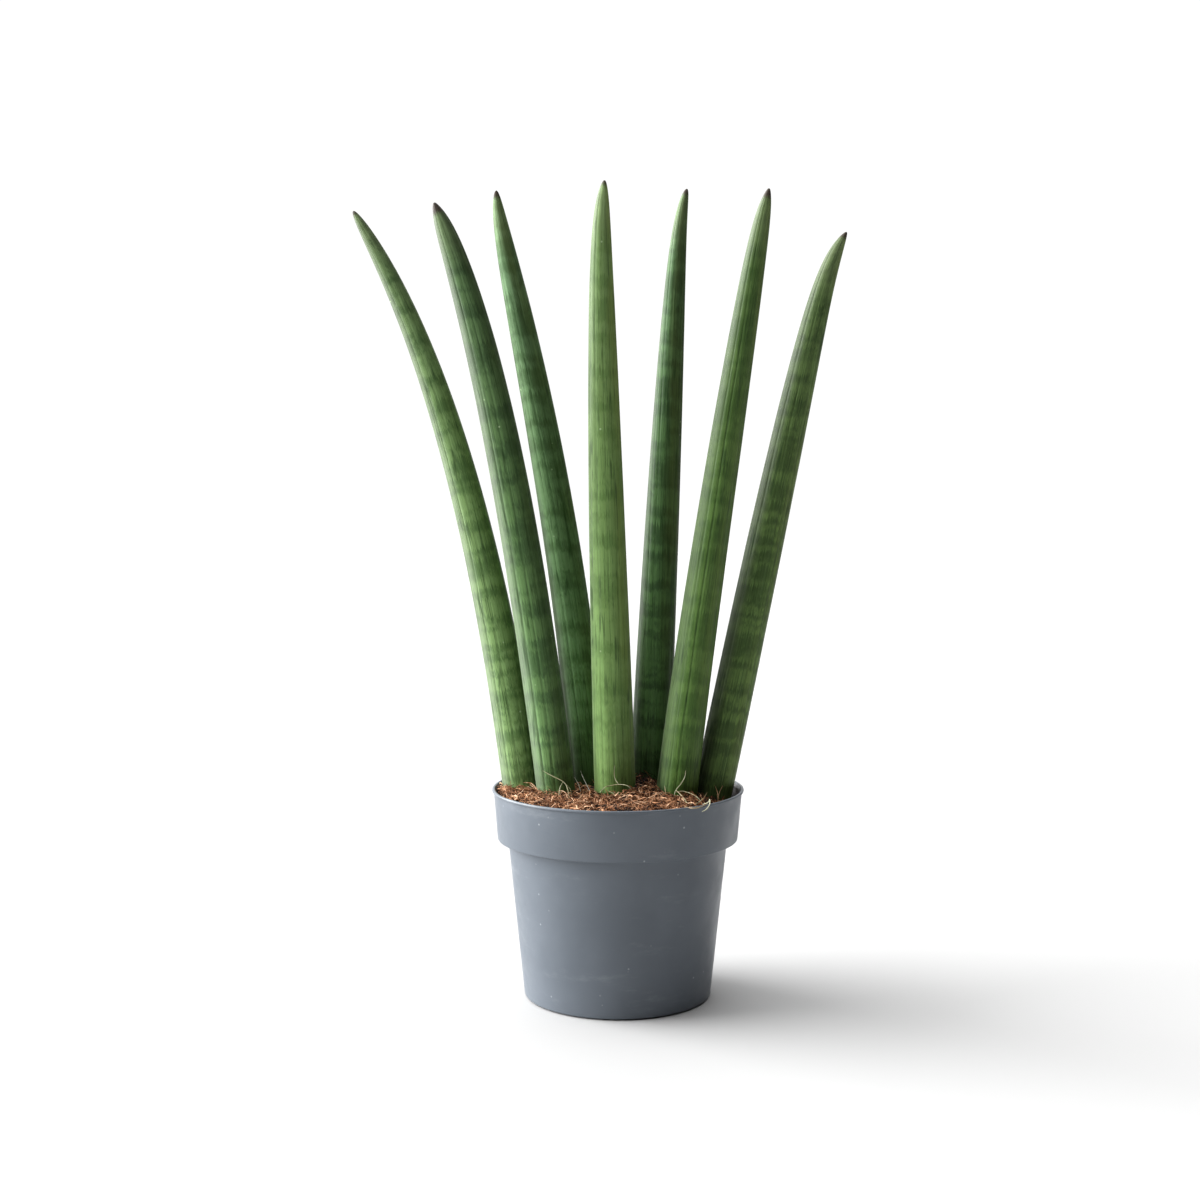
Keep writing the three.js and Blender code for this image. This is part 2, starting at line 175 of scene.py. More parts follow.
# Loose hairs, each as its thickness, how pale it is from 0 to 1, and its route.
HAIRS = (
    (0.36, 0.62, (
        (-35.3, -13.5, 110.2), (-31.5, -15, 108.3), (-28.1, -16, 106.8), (-25.8, -16.5, 105.6),
        (-24.4, -17, 104.2), (-23.5, -18, 102.1), (-22.9, -19, 99.3), (-22.7, -20, 98),
        (-22.6, -20.6, 96.6),
    )),
    (0.32, 0.6, (
        (-25.8, -16.5, 105.5), (-27.1, -17.5, 102.8), (-27.5, -19, 100.6), (-27.6, -20, 98),
        (-27.7, -20.6, 96.6),
    )),
    (0.26, 0.5, (
        (-24.6, -16.8, 104.4), (-23.1, -17, 103.2), (-22.1, -17.5, 101.5), (-21.5, -18, 99),
        (-20.8, -18.5, 96.9),
    )),
    (0.38, 0.97, (
        (-17.7, -2, 108.1), (-16.6, -4, 105.5), (-14.9, -7, 102.6), (-13, -11, 99.1), (-12.4, -12, 97.4),
        (-12.2, -12.4, 96.5),
    )),
    (0.3, 0.85, (
        (-20.8, -5, 105.7), (-19.1, -7, 103.5), (-18.2, -9, 101.7), (-17.6, -10, 99.6), (-17.4, -11, 97.7),
        (-17.3, -11.5, 96.7),
    )),
    (0.34, 0.6, (
        (-8.5, -21, 101.2), (-6, -19, 103.4), (-3.1, -18, 104), (-0.2, -18, 104.4), (1.9, -18.5, 104.5),
        (4.4, -19.5, 104.1), (6, -20, 102.7),
    )),
    (0.28, 0.6, ((-1.6, -15.2, 113), (-1.6, -15.6, 107.6), (-0.8, -16.5, 105.8), (0.4, -18, 104.5))),
    (0.26, 0.5, ((-4.7, -17, 101.3), (-3.3, -18, 100.8), (-1.9, -19, 100), (-1.4, -20, 98.5))),
    (0.44, 0.66, (
        (31.8, -14.6, 110.8), (31.2, -15.5, 107.5), (29.6, -17, 104.9), (27.5, -19, 102.7),
        (26.8, -19.5, 101.7), (25.6, -20.4, 96.8),
    )),
    (0.6, 0.5, (
        (27, -20, 102.2), (29.4, -23, 100.1), (30.8, -27, 99), (32.2, -33, 98.3), (34.6, -34, 98.3),
        (37.2, -32, 98.9), (38.9, -28, 99.9),
    )),
    (0.32, 0.5, (
        (26.5, -19.5, 101), (29.5, -20, 101.7), (31.9, -21, 101.4), (34.7, -23, 100.7), (36.7, -25, 99.6),
        (38.2, -27, 98.2),
    )),
    (0.5, 0.72, (
        (38.1, -34, 98), (39.3, -37, 99), (40.7, -42, 100.7), (41.1, -46, 102.7), (40.8, -49.3, 101.1),
        (39.3, -51.8, 99.5), (37.2, -53.2, 98.6),
    )),
    (0.42, 0.35, (
        (29.6, -44, 99.6), (31.8, -51, 99.9), (34, -52, 100), (37.1, -48, 99.9), (40.1, -43, 100),
    )),
    (0.4, 0.25, (
        (55.8, 4.5, 105.7), (53.1, 1, 103.7), (50.2, -3, 101.4), (48.5, -7, 99.6), (47.4, -10, 97.5),
        (46.9, -11.4, 91.8),
    )),
    (0.34, 0.2, ((46, -6, 101.8), (46.6, -10, 100.2), (46.9, -14, 98.5), (47.0, -15.5, 91.9))),
    (0.36, 0.3, ((41.4, -20, 101), (40.2, -22, 99.5), (38.9, -24, 97.8), (38.3, -24.9, 95.2))),
    (0.34, 0.45, ((21.8, -14.5, 103.2), (22, -15, 102.2), (22.3, -17, 99.8), (22.5, -18.2, 96.4))),
)


# ---- Settings a user would change ----

def length(name, description, millimetres):
    """A length property, given in millimetres and kept in metres."""
    return bpy.props.FloatProperty(
        name=name, description=description, default=millimetres * MM,
        min=0, precision=5, unit="LENGTH", subtype="DISTANCE",
    )


def angle(name, description, degrees):
    """An angle property, given in degrees."""
    return bpy.props.FloatProperty(
        name=name, description=description, default=math.radians(degrees), subtype="ANGLE"
    )


def colour(name, description, hex_colour):
    """A colour property, given as sRGB hex and kept linear."""
    return bpy.props.FloatVectorProperty(
        name=name, description=description, default=linear(hex_colour), size=4, min=0, max=1, subtype="COLOR"
    )


def amount(name, description, default, least=0):
    """A property that counts something."""
    return bpy.props.IntProperty(name=name, description=description, default=default, min=least)


def brightness(name, description, default):
    """A property for how strong a light is."""
    return bpy.props.FloatProperty(name=name, description=description, default=default, min=0)


class PotSettings(bpy.types.PropertyGroup):
    """The pot's making and its plastic."""

    sides: amount("Sides", "Flat sides in one turn of the wall", 192, 24)
    drain_count: amount("Drain holes", "Round holes in the floor", 8)
    drain_radius: length("Drain radius", "Radius of each drain hole", 4)
    lip_wave: length("Lip wave", "How far the moulded lip strays from a true circle", 0.12)
    plastic: colour("Plastic", "Satin blue-grey polypropylene", "596068")
    plastic_dark: colour("Plastic, darker", "The darker clouds in the plastic", "545B63")
    dust: colour("Dust", "Dry specks and smudges on the wall", "B9BDC0")
    # The colour of the painted shade on the inside of the collar.
    painted_inner_shade: colour("Stain", "Wet soil's stain on the inside of the collar", "262321")


class SoilSettings(bpy.types.PropertyGroup):
    """The coir bed and what lies loose on it."""

    seed: amount("Seed", "Another seed scatters the coir anew", 20260)
    crumbs: amount("Crumbs", "Pressed crumbs of coir", 1500)
    fibres: amount("Fibres", "Short curled fibres of coir", 3700)
    strands: amount("Strands", "Long curled strands of coir", 2400)
    crumb_size: length("Crumb size", "Radius of a middling crumb", 0.85)
    fibre_radius: length("Fibre radius", "Radius of a middling fibre", 0.17)
    # Hollow is the darkest coir: damp peat, and the colour that the painted shade turns to.
    hollow: colour("Hollow", "Damp peat in the hollows", "160B07")
    body: colour("Body", "Damp coir", "784C2F")
    top: colour("Top", "Coir that dries on top", "B88560")
    dry: colour("Dry", "The driest strands", "E3BD9B")


class LeafSettings(bpy.types.PropertyGroup):
    """What the seven leaves have in common."""

    sides: amount("Sides", "Points round a leaf, eight to a groove", 96, 24)
    rings: amount("Rings", "Rings from the foot to the tip", 60, 8)
    grooves: amount("Grooves", "Lengthwise grooves round a leaf", 12, 3)
    groove_depth: length("Groove depth", "Depth of the deepest grooves", 0.38)
    groove_width: length("Groove width", "Half the width of a groove", 0.36)
    # The dark colour of the fine lines, and of the painted shade down in the grooves.
    groove: colour("Groove", "The skin down in a groove", "1D3416")
    painted_shade_olive: colour("Blush", "Olive tint on the sides that dry first", "6E7A3C")
    # The olive colour of the painted shade on the right side.
    upper: colour("Upper tint", "The cooler tint of the skin's upper end", "F5F0FF")
    drying: colour("Drying skin", "The duller skin by the hard tip", "7E8A66")
    # The colour of the painted grey sheen on the left flank.
    bloom: colour("Bloom", "The grey bloom of wax on the left flank", "7A8074")
    fleck: colour("Fleck", "Small pale flecks in the skin", "A9BE93")
    tip: colour("Tip", "The hard dry tip", "3A332B")


class StageSettings(bpy.types.PropertyGroup):
    """The studio round the plant."""

    floor_size: length("Floor", "Side of the square floor", 8000)
    key_strength: brightness("Key", "Strength of the soft key light", 12.1)
    key_height: angle("Key height", "How high the key stands over the floor", 14)
    key_back: angle("Key back", "How far the key stands behind the plant", 11)
    key_spread: angle("Key spread", "How large the key looks from the plant", 60)
    fill_strength: brightness("Fill", "Strength of the room's panels", 1.0)
    floor: colour("Floor colour", "Matt pale grey board, lit to white", "ADADAD")


# ---- Modelling by operator ----

def deselect_all():
    """Leaves edit mode and selects nothing."""
    if bpy.context.object and bpy.context.object.mode != "OBJECT":
        bpy.ops.object.mode_set(mode="OBJECT")
    bpy.ops.object.select_all(action="DESELECT")


def select_only(piece):
    """Selects one piece and makes it the active one."""
    deselect_all()
    piece.select_set(True)
    bpy.context.view_layer.objects.active = piece


def apply_modifier(piece, kind, **settings):
    """Adds a modifier with its settings and applies it."""
    select_only(piece)
    modifier = piece.modifiers.new(kind.title(), kind)
    for name, value in settings.items():
        setattr(modifier, name, value)
    bpy.ops.object.modifier_apply(modifier=modifier.name)


def drawn_rod(name, sides, outline):
    """A closed solid of rings round Z: a disc at the outline's first point, drawn out through the others."""
    deselect_all()
    radius, height = outline[0]
    bpy.ops.mesh.primitive_circle_add(
        vertices=sides, radius=radius * MM, fill_type="TRIFAN", location=(0, 0, height * MM)
    )
    piece = bpy.context.object
    bpy.ops.object.transform_apply(location=True, rotation=False, scale=False)
    piece.name = piece.data.name = name
    bpy.ops.object.mode_set(mode="EDIT")
    bpy.ops.mesh.select_all(action="SELECT")
    for next_radius, next_height in outline[1:]:
        rise = (0, 0, (next_height - height) * MM)
        bpy.ops.mesh.extrude_region_move(TRANSFORM_OT_translate={"value": rise})
        grow = next_radius / radius
        bpy.ops.transform.resize(value=(grow, grow, 1), center_override=(0, 0, next_height * MM))
        radius, height = next_radius, next_height
    bpy.ops.mesh.select_all(action="SELECT")
    bpy.ops.mesh.normals_make_consistent(inside=False)
    bpy.ops.object.mode_set(mode="OBJECT")
    return piece


def points_of(piece):
    """The mesh's points as an array of rows, in millimetres."""
    flat = np.empty(len(piece.data.vertices) * 3)
    piece.data.vertices.foreach_get("co", flat)
    return flat.reshape(-1, 3) / MM


def move_points(piece, points):
    """Moves the mesh's points to an array of rows, in millimetres."""
    piece.data.vertices.foreach_set("co", (points * MM).ravel())
    piece.data.update()


def write_attribute(mesh, name, kind, values):
    """Stores one value or one vector for each point of a mesh."""
    attribute = mesh.attributes.new(name, kind, "POINT")
    field = "vector" if kind == "FLOAT_VECTOR" else "value"
    attribute.data.foreach_set(field, np.asarray(values, float).ravel())


def finish_piece(piece, material, node, smooth_angle=None):
    """Gives a piece its finish and smooth shading, hangs it on the root body and hides the CAD part it
    replaces.
    """
    piece.data.materials.clear()
    piece.data.materials.append(material)
    select_only(piece)
    if smooth_angle is None:
        bpy.ops.object.shade_smooth()
    else:
        bpy.ops.object.shade_smooth_by_angle(angle=math.radians(smooth_angle))
    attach(piece, ROOT_BODY)
    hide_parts(node)


# ---- Materials ----

# How some kinds of node are set unless a call says otherwise: ranges are eased, and mixes are of colours.
USUAL_SETTINGS = {"MapRange": {"interpolation_type": "SMOOTHSTEP"}, "Mix": {"data_type": "RGBA"}}


def add_node(tree, kind, *values, ramp=None, **named):
    """Adds a node. The values go to its open inputs in order. Of the named ones, a name with a capital is an
    input, with _ for a space, and the others are settings. A node is linked from its first open output."""
    made = tree.nodes.new("ShaderNode" + kind)
    named = {**USUAL_SETTINGS.get(kind, {}), **named}
    for name, value in named.items():
        if name[0].islower():
            setattr(made, name, value)
    pairs = list(zip([socket for socket in made.inputs if socket.enabled], values))
    for name, value in named.items():
        if name[0].isupper():
            pairs.append((made.inputs[name.replace("_", " ")], value))
    for socket, value in pairs:
        if isinstance(value, bpy.types.Node):
            value = next(output for output in value.outputs if output.enabled)
        if isinstance(value, bpy.types.NodeSocket):
            tree.links.new(value, socket)
        else:
            socket.default_value = value
    if ramp:
        stops = made.color_ramp.elements
        while len(stops) < len(ramp):
            stops.new(1)
        for stop, (position, value) in zip(stops, ramp):
            stop.position, stop.color = position, value
    return made


def every(millimetres):
    """The scale of a pattern that repeats every so many millimetres."""
    return 1 / (millimetres * MM)


def new_material(name):
    """A material with an empty node tree, and the function that adds a node to it."""
    material = bpy.data.materials.new(name)
    material.use_nodes = True
    material.node_tree.nodes.clear()
    return material, partial(add_node, material.node_tree)


def satin_polypropylene(settings):
    """Injection-moulded polypropylene: an even satin skin with faint clouds, fine grain and some dry dust,
    and painted shade inside the collar."""
    material, add = new_material("satin_polypropylene")
    place = add("TexCoord").outputs["Object"]
    # Clouds about 30 mm wide, as the melt flowed.
    clouds = add("TexNoise", Vector=place, Scale=every(29.4), Detail=3.0)
    skin = add("Mix", add("MapRange", clouds, 0.35, 0.65), settings.plastic, settings.plastic_dark)
    # Faint dust specks up to 1 mm wide, one in each 6 mm cube or fewer.
    cells = add("TexVoronoi", Vector=place, Scale=every(5.88))
    near = add("MapRange", cells, 0.05, 0.1, 1.0, 0.0)
    rare = add("MapRange", add("SeparateColor", cells.outputs["Color"]), 0.3, 1.0, 0.0, 0.4)
    specks = add("Math", near, rare, operation="MULTIPLY")
    # Wiped smudges, longer sideways than tall.
    flat = add("Mapping", Vector=place, Scale=(1.0, 1.0, 3.5))
    smudges = add("TexNoise", Vector=flat, Scale=every(35.7), Detail=6.0, Roughness=0.7)
    smudges = add("MapRange", smudges, 0.56, 0.76, 0.0, 0.09)
    skin = add("Mix", add("Math", specks, smudges, operation="MAXIMUM"), skin, settings.dust)
    # Painted shade darkens the inside of the collar. The wall leans out by 0.093 mm a millimetre;
    # upright, its inside would be 48.9 mm out and its outside 50.1 mm.
    x, y, z = add("SeparateXYZ", place).outputs
    radius = add("VectorMath", add("CombineXYZ", x, y), operation="LENGTH")
    upright = add("Math", z, -0.093, radius, operation="MULTIPLY_ADD")
    inside = add("MapRange", upright, 49.05 * MM, 49.4 * MM, 0.85, 0.0)
    in_collar = add("MapRange", z, 78 * MM, 79 * MM)
    skin = add("Mix", add("Math", inside, in_collar, operation="MULTIPLY"), skin, settings.painted_inner_shade)
    # Wear in patches about 11 mm wide.
    worn = add("TexNoise", Vector=place, Scale=every(11.1), Detail=4.0)
    # The mould's spark grain is 0.2 mm; drawn at 0.5 mm, so that it shows, over waves about 17 mm wide.
    grain = add("TexNoise", Vector=place, Scale=every(0.5), Detail=2.0)
    waves = add("TexNoise", Vector=flat, Scale=every(16.7), Detail=2.0)
    height = add("Math", waves, 12.0, grain, operation="MULTIPLY_ADD")
    bump = add("Bump", Strength=0.25, Distance=0.04 * MM, Height=height)
    shader = add(
        "BsdfPrincipled", Base_Color=skin, Roughness=add("MapRange", worn, 0.3, 0.7, 0.36, 0.48),
        IOR=1.49, Specular_IOR_Level=0.43, Normal=bump,
    )
    add("OutputMaterial", Surface=shader)
    return material


def coir_fibre(settings, name, hollow_share):
    """Loose coconut coir: dull, dry on top and with painted shade in the hollows and gaps, each strand
    with its own tone.
    """
    material, add = new_material(name)
    place = add("TexCoord").outputs["Object"]
    tone = add("Attribute", attribute_name="tone").outputs["Fac"]
    # Patches about 9 mm wide where the coir is damper.
    damp = add("TexNoise", Vector=place, Scale=every(9.09), Detail=2.0)
    shade = add("Math", add("MapRange", damp, 0.3, 0.7, -0.14, 0.14), tone)
    # Splinters about 0.8 mm wide within a strand.
    splinters = add("TexNoise", Vector=place, Scale=every(0.77), Detail=2.0)
    shade = add("Math", add("MapRange", splinters, 0.3, 0.7, -0.12, 0.12), shade)
    # Painted shade in gaps 2 to 3 mm wide, where the strands shade each other.
    painted_gap_shade = add("TexNoise", Vector=place, Scale=every(2.63), Detail=1.0)
    shade = add("Math", shade, add("MapRange", painted_gap_shade, 0.36, 0.48, -0.42, 0.0))
    ramp = add("ValToRGB", shade, ramp=(
        (hollow_share, settings.hollow), (0.36, settings.body), (0.7, settings.top), (1.0, settings.dry),
    ))
    bump = add("Bump", Strength=0.5, Distance=0.1 * MM, Height=splinters)
    shader = add("BsdfPrincipled", Base_Color=ramp, Roughness=0.85, Specular_IOR_Level=0.25, Normal=bump)
    add("OutputMaterial", Surface=shader)
    return material


def waxy_leaf_skin(settings, number, look, leaf_length):
    """Living succulent skin: satin wax over soft cross bands, whose edges the leaf's fibres comb out, with
    fine dark lines, painted shade down the grooves, pale patches, painted olive shade on the right side,
    painted light and shade along the leaf and on its flanks, a painted grey sheen on the left flank, a few
    flecks and a hard dry tip."""
    material, add = new_material(f"waxy_leaf_skin_{number}")
    # rod is the place on the unbent leaf: the direction round it, and the metres along it.
    rod = add("Attribute", attribute_name="rod").outputs["Vector"]
    groove = add("Attribute", attribute_name="groove").outputs["Fac"]
    shift = add("Attribute", attribute_name="rib_shift").outputs["Fac"]
    cross, depth, height = add("SeparateXYZ", rod).outputs
    whole = leaf_length * MM

    def pattern(along, around, spacing, detail=2.0, roughness=0.5, offset=0.0, distortion=0.0):
        """Noise on the leaf: around is how fine it is across, and spacing is in millimetres along it."""
        turned = add(
            "CombineXYZ",
            add("Math", cross, around, operation="MULTIPLY"),
            add("Math", depth, around, operation="MULTIPLY"),
            add("Math", along, every(spacing), look.seed + offset, operation="MULTIPLY_ADD"),
        )
        return add(
            "TexNoise", Vector=turned, Scale=1.0, Detail=detail, Roughness=roughness, Distortion=distortion
        )

    # Fibres 0.6 mm wide and some 25 mm long.
    fibres = pattern(height, 15.0, 25.0, offset=9.1)
    # The band edges are combed by up to 1.5 mm, and each rib has its own small shift.
    combed = add("Math", fibres, 8 * MM, add("Math", height, shift), operation="MULTIPLY_ADD")
    bands = add("MapRange", pattern(combed, 0.32, look.band, 2.0, 0.55, distortion=0.12), 0.33, 0.67)
    # Blotches 3 to 4 mm wide and freckles 1.2 mm wide break the bands up.
    blotches = pattern(combed, 2.4, 3.2, 3.0, 0.65, offset=5.5)
    freckles = pattern(combed, 7.0, 1.3, 1.0, offset=6.6)
    share = add("Math", bands, 1.2, operation="SUBTRACT")
    share = add("Math", blotches, 1.3, share, operation="MULTIPLY_ADD")
    share = add("Math", freckles, 1.1, share, operation="MULTIPLY_ADD")
    share = add("MapRange", share, -0.05, 1.05, 0.5 - look.contrast / 2, 0.5 + look.contrast / 2)
    skin = add("Mix", share, linear(look.dark), linear(look.light))
    # The skin turns cooler over the last 150 mm and duller over the last 38 mm.
    upper = add("MapRange", height, whole - 150 * MM, whole - 30 * MM)
    skin = add("Mix", upper, skin, settings.upper, blend_type="MULTIPLY")
    dull = add("MapRange", height, whole - 38 * MM, whole - 10 * MM, 0.0, 0.32)
    skin = add("Mix", dull, skin, settings.drying)
    # Painted light and shade along the leaf: its tone is scaled gently from the foot to the middle
    # and from there to the tip.
    middle = 0.55 * whole
    low = add("MapRange", height, 0.0, middle, look.foot, 1.0)
    high = add("MapRange", height, middle, whole, 1.0, look.upper)
    for part in (low, high):
        skin = add("Mix", 1.0, skin, part, blend_type="MULTIPLY")
    # Painted light and shade on the flanks and the lowest 35 mm, and a painted grey sheen on the left
    # flank, whose far edge is darkened under it. These fade out towards the back.
    left = add("MapRange", height, 0.0, whole, *look.left)
    left = add("Mix", add("MapRange", cross, -0.9, -0.15, 1.0, 0.0), 1.0, left, data_type="FLOAT")
    # Painted light and shade on the right side.
    right = add("MapRange", cross, 0.1, 0.75, 1.0, look.right)
    # Painted shade on the lowest 35 mm, where the neighbouring leaves shade the foot.
    base = add("MapRange", height, 0.0, 35 * MM, look.base, 1.0)
    flank = add("MapRange", cross, -0.85, -0.6, 1 - look.bloom / 2, 1.0)
    sides = left
    for part in (right, add("Math", base, flank, operation="MULTIPLY")):
        sides = add("Math", sides, part, operation="MULTIPLY")
    front = add("MapRange", depth, 0.15, 0.75, 1.0, 0.0)
    sides = add("Math", add("Math", sides, 1.0, operation="SUBTRACT"), front, 1.0, operation="MULTIPLY_ADD")
    skin = add("Mix", 1.0, skin, sides, blend_type="MULTIPLY")
    # The painted grey sheen on the left flank, fading towards the back.
    bloom = add("MapRange", cross, -0.95, -0.2, look.bloom, 0.0)
    skin = add("Mix", add("Math", bloom, front, operation="MULTIPLY"), skin, settings.bloom)
    # Painted shade: an olive tint on the shaded right side, in long patches.
    patches = add("MapRange", pattern(height, 0.8, 45.0, offset=2.2), 0.36, 0.66, 0.35, 1.0)
    side = add("Math", add("MapRange", cross, 0.1, 0.9, 0.15, 1.0), patches, operation="MULTIPLY")
    skin = add("Mix", add("Math", side, look.olive, operation="MULTIPLY"), skin, settings.painted_shade_olive)
    # The fibres show as streaks, with dark strokes 0.4 mm wide and some 6 mm long.
    streaks = add("MapRange", fibres, 0.3, 0.7, 1 - look.streaks, 1 + look.streaks)
    strokes = add("MapRange", pattern(height, 13.0, 8.0, offset=7.7), 0.6, 0.72, 1.0, 0.7)
    streaks = add("Math", streaks, strokes, operation="MULTIPLY")
    skin = add("Mix", 1.0, skin, streaks, blend_type="MULTIPLY")
    # Fine dark lines 0.3 mm wide and 2 to 4 mm apart, which waver and fade in and out.
    off_line = add("Math", pattern(height, 4.0, 70.0, 0.0, offset=1.7), 0.5, operation="SUBTRACT")
    line = add("MapRange", add("Math", off_line, operation="ABSOLUTE"), 0.01, 0.05, 1.0, 0.0)
    fading = add("MapRange", pattern(height, 2.0, 12.0, offset=3.3), 0.42, 0.62, 0.05, 0.6)
    fine = add("Math", line, fading, operation="MULTIPLY")
    # Painted shade down in the grooves, in stretches.
    stretches = add("MapRange", pattern(height, 1.2, 9.0, offset=4.1), 0.3, 0.6, 0.15, 0.5)
    deep = add("Math", groove, stretches, operation="MULTIPLY")
    skin = add("Mix", add("Math", fine, deep, operation="MAXIMUM"), skin, settings.groove)
    # Pale flecks up to 1 mm wide, in one of ten 8 mm cubes.
    cells = add("TexVoronoi", Vector=add("TexCoord").outputs["Object"], Scale=every(7.69))
    flecks = add("MapRange", cells, 0.03, 0.08, 0.6, 0.0)
    rare = add("MapRange", add("SeparateColor", cells.outputs["Color"]), 0.86, 0.9)
    skin = add("Mix", add("Math", flecks, rare, operation="MULTIPLY"), skin, settings.fleck)
    # The tip dries out from its point, a little further down some fibres than others.
    tip_place = add("Math", fibres, 6 * MM, height, operation="MULTIPLY_ADD")
    tip_start = whole - look.tip * MM
    dry = add("MapRange", tip_place, tip_start + 2 * MM, tip_start + 4.5 * MM)
    skin = add("Mix", dry, skin, settings.tip)
    bump = add("Bump", Strength=0.3, Distance=0.12 * MM, Height=fibres)
    shader = add(
        "BsdfPrincipled", Base_Color=skin, Roughness=add("MapRange", blotches, 0.3, 0.7, 0.46, 0.56),
        IOR=1.45, Specular_IOR_Level=look.gloss, Normal=bump,
    )
    add("OutputMaterial", Surface=shader)
    return material


def dry_root_hair():
    """Loose coir strands and dry root hairs: thin, straw-pale and a little glossy."""
    material, add = new_material("dry_root_hair")
    tone = add("Attribute", attribute_name="tone").outputs["Fac"]
    # Blotches about 3 mm long.
    blotches = add("TexNoise", Vector=add("TexCoord").outputs["Object"], Scale=every(3.03), Detail=2.0)
    shade = add("Math", add("MapRange", blotches, 0.3, 0.7, -0.1, 0.1), tone)
    ramp = add("ValToRGB", shade, ramp=(
        (0.0, linear("6B4228")), (0.3, linear("9A7C56")), (0.6, linear("A9A883")), (1.0, linear("C6C4BC")),
    ))
    add("OutputMaterial", Surface=add("BsdfPrincipled", Base_Color=ramp, Roughness=0.5))
    return material


def matt_white_board(settings):
    """Matt studio board: a flat pale tone with a very faint unevenness."""
    material, add = new_material("matt_white_board")
    clouds = add("TexNoise", Vector=add("TexCoord").outputs["Object"], Scale=every(333), Detail=2.0)
    tone = add("Mix", add("MapRange", clouds, 0.3, 0.7, 0.0, 0.02), settings.floor, linear("A8A8A8"))
    shader = add("BsdfPrincipled", Base_Color=tone, Roughness=0.9, Specular_IOR_Level=0.1)
    add("OutputMaterial", Surface=shader)
    return material


# ---- Pot ----

# A corner that turns by less than this, in radians, stays as it is, and an arc takes up this share of a side.
STRAIGHT = 0.02
LONGEST_ARC = 0.45


def softened(outline, steps=4):
    """An outline with each corner turned by an arc, from (x, y, rounding) points."""
    corners = [Vector(p[:2]) for p in outline]
    soft = []
    for i, (x, y, rounding) in enumerate(outline):
        here = corners[i]
        before = corners[i - 1] if i else Vector((0, y))
        after = corners[i + 1] if i + 1 < len(corners) else Vector((0, y))
        back, on = (before - here).normalized(), (after - here).normalized()
        half = back.angle(on) / 2
        if math.pi / 2 - half < STRAIGHT:
            soft.append((x, y))
            continue
        longest = LONGEST_ARC * min((before - here).length, (after - here).length)
        reach = min(rounding / math.tan(half), longest)
        radius = reach * math.tan(half)
        middle = here + (back + on).normalized() * (radius / math.sin(half))
        start, end = here + back * reach - middle, here + on * reach - middle
        sweep = start.angle_signed(end)
        for step in range(steps + 1):
            cos, sin = math.cos(-sweep * step / steps), math.sin(-sweep * step / steps)
            spoke = Vector((start.x * cos - start.y * sin, start.x * sin + start.y * cos))
            soft.append(tuple(middle + spoke))
    return soft


class PLANT_OT_pot(bpy.types.Operator):
    """Turns the nursery pot from its outline, rounds its corners and cuts its drain holes"""

    bl_idname = "plant.pot"
    bl_label = "Nursery Pot"

    def execute(self, context):
        settings = context.scene.plant_pot
        pot = drawn_rod("pot_shell", settings.sides, softened(POT_OUTLINE))
        for i in range(settings.drain_count):
            turn = (i + 0.5) * 2 * math.pi / settings.drain_count
            place = (DRAIN_RING * MM * math.cos(turn), DRAIN_RING * MM * math.sin(turn), POT_FLOOR_RISE * MM)
            deselect_all()
            bpy.ops.mesh.primitive_cylinder_add(
                vertices=32, radius=settings.drain_radius, depth=6 * MM, location=place
            )
            drill = context.object
            apply_modifier(pot, "BOOLEAN", operation="DIFFERENCE", object=drill, solver="EXACT")
            bpy.data.objects.remove(drill)
        points = points_of(pot)
        bearing = np.arctan2(points[:, 1], points[:, 0])
        near_lip = np.clip((points[:, 2] - LIP_WAVES_FROM) / (RIM_HEIGHT - LIP_WAVES_FROM), 0, 1) ** 2
        waves = sum(share * np.sin(round_it * bearing + start) for round_it, share, start in LIP_WAVES)
        out = settings.lip_wave / MM * (waves - LIP_WAVES_INWARD)
        points[:, :2] *= (1 + near_lip * out / RIM_RADIUS)[:, None]
        move_points(pot, points)
        finish_piece(pot, satin_polypropylene(settings), "pot", smooth_angle=35)
        return {"FINISHED"}


# ---- Leaves ----

def spine_points(leaf):
    """The foot, the bend point and the tip of a leaf, in millimetres."""
    foot_x, foot_y = leaf.foot
    bend_x, bend_z = leaf.bend
    tip = Vector(leaf.tip)
    bend_y = foot_y + (tip.y - foot_y) * BEND_DEPTH_SHARE
    return Vector((foot_x, foot_y, FOOT_HEIGHT)), Vector((bend_x, bend_y, bend_z)), tip


def spine_length(leaf):
    """The length of a leaf's bow from its foot to its tip, in millimetres."""
    foot, bend, tip = spine_points(leaf)
    share = np.linspace(0, 1, 2001)[:, None]
    near, far = (1 - share) ** 2 * np.array(foot), share ** 2 * np.array(tip)
    line = near + 2 * share * (1 - share) * np.array(bend) + far
    return float(np.linalg.norm(np.diff(line, axis=0), axis=1).sum())


def spine_curve(leaf):
    """A leaf's spine as a curve, from its root end straight up to the foot and in one bow to the tip."""
    foot, bend, tip = spine_points(leaf)
    along = (bend - foot).normalized()
    root = foot - along * ROOT_DEPTH
    deselect_all()
    bpy.ops.curve.primitive_bezier_curve_add()
    curve = bpy.context.object
    knots = curve.data.splines[0].bezier_points
    knots.add(1)
    step = along * (ROOT_DEPTH / 3)
    end_step = (tip - bend) * (2 / 3)
    places = (
        (root - step, root, root + step),
        (foot - step, foot, foot + (bend - foot) * (2 / 3)),
        (tip - end_step, tip, tip + end_step),
    )
    for knot, (left, middle, right) in zip(knots, places):
        knot.handle_left_type = knot.handle_right_type = "FREE"
        knot.handle_left, knot.co, knot.handle_right = left * MM, middle * MM, right * MM
    curve.data.dimensions = "3D"
    curve.data.resolution_u = 64
    curve.data.twist_mode = "MINIMUM"
    curve.data.use_deform_bounds = True
    return curve


